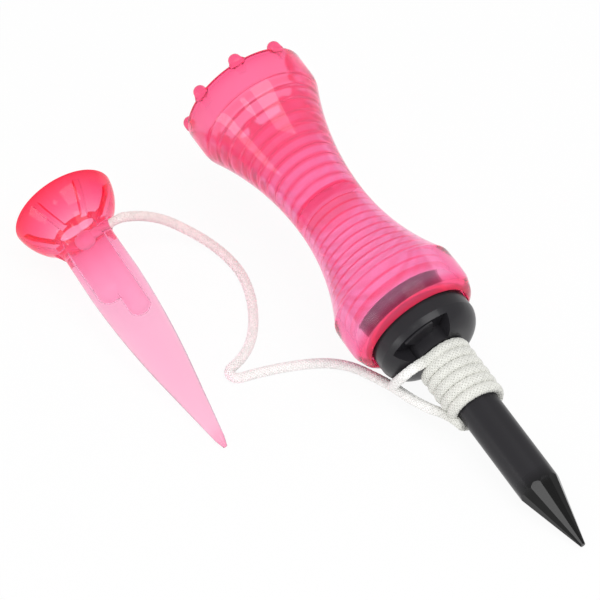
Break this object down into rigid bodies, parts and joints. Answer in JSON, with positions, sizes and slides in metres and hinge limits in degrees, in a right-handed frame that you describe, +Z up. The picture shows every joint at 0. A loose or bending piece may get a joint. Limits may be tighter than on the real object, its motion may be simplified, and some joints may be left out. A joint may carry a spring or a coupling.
{
  "type": "golf tee",
  "caption": "Magnetic golf tee: a hollow clear pink hourglass on a black pegged spike, with a white braided cord wound round the spike and tied to a small pink tee.",
  "frame": {"origin": "on the surface that the tees lie on, under the middle of the box round both tees", "axes": "+X along the driver tee towards the spike's point, +Z up from the surface, +Y from the small tee towards the driver tee"},
  "size_m": [0.0847, 0.0441, 0.0269],
  "materials": {
    "pink_plastic": "clear moulded plastic, polished",
    "pale_pink_plastic": "clear moulded plastic, polished",
    "black_plastic": "satin black moulding",
    "magnet_steel": "plain dark magnet",
    "cord_braid": "white braided synthetic cord"
  },
  "bodies": {
    "spike_and_cord": {"spike": "black_plastic", "spike_magnet": "magnet_steel", "cord_winding": "cord_braid", "cord_run": "cord_braid", "cord_tail": "cord_braid"},
    "tee_magnet": {"body_magnet": "magnet_steel"},
    "driver_tee": {"tee_body": "pink_plastic"},
    "small_tee": {"mini_tee": "pale_pink_plastic", "cord_knot": "cord_braid"}
  },
  "joints": [
    {"name": "tee_pull", "type": "slide", "parent": "spike_and_cord", "child": "tee_magnet", "axis": [-0.9779, 0, 0.2093], "range_m": [0, 0.02]},
    {"name": "tee_spin", "type": "hinge", "parent": "tee_magnet", "child": "driver_tee", "pos_m": [0.00319, 0.0128, 0.00911], "axis": [-0.9779, 0, 0.2093], "continuous": true},
    {"name": "small_tee_swing", "type": "hinge", "parent": "spike_and_cord", "child": "small_tee", "pos_m": [-0.03447, -0.01072, 0.0082], "axis": [0, 0, 1], "range_deg": [-30, 8]}
  ]
}
